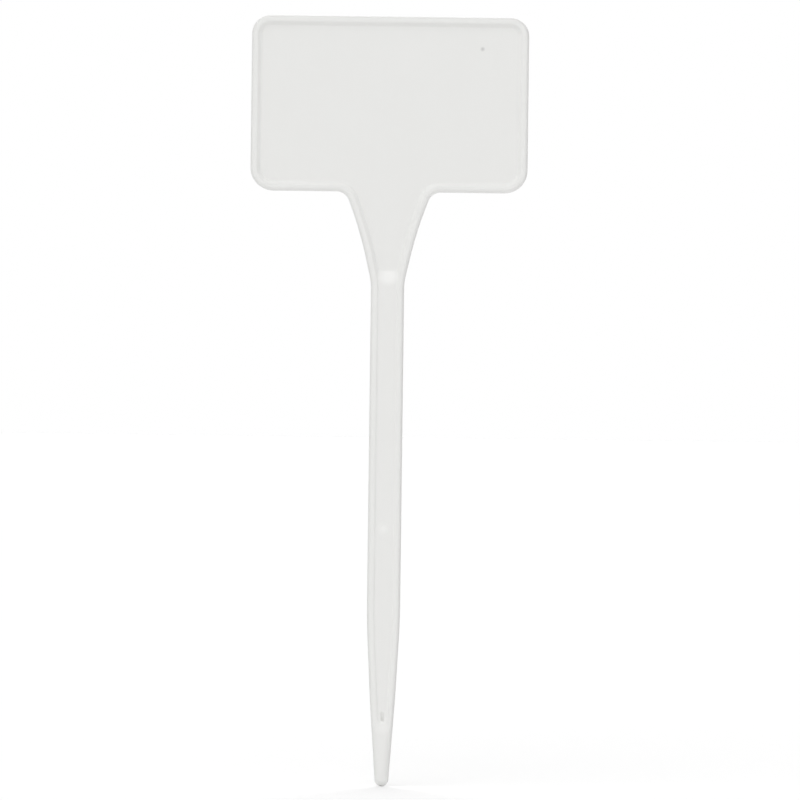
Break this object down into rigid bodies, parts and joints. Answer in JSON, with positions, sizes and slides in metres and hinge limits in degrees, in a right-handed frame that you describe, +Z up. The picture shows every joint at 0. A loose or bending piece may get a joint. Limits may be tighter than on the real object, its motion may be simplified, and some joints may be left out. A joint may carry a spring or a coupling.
{
  "type": "plant label stake",
  "caption": "Flat T-shaped garden label stake: a rimmed writing panel on a flared neck and a ribbed stem with a rounded point that is pushed into soil.",
  "frame": {"origin": "middle of the stem's section at the soil line, 90 mm above the end of the point", "axes": "+Z up the stem to the head, -Y out of the writing face, +Y out of the flat back, +X to the right of someone who reads the label"},
  "size_m": [0.09, 0.0028, 0.25],
  "materials": {
    "white_plastic": "satin moulded polypropylene with a finely matt skin"
  },
  "bodies": {
    "root": {"writing_panel": "white_plastic", "head_rim": "white_plastic", "neck": "white_plastic", "stem": "white_plastic", "point": "white_plastic"}
  },
  "joints": []
}
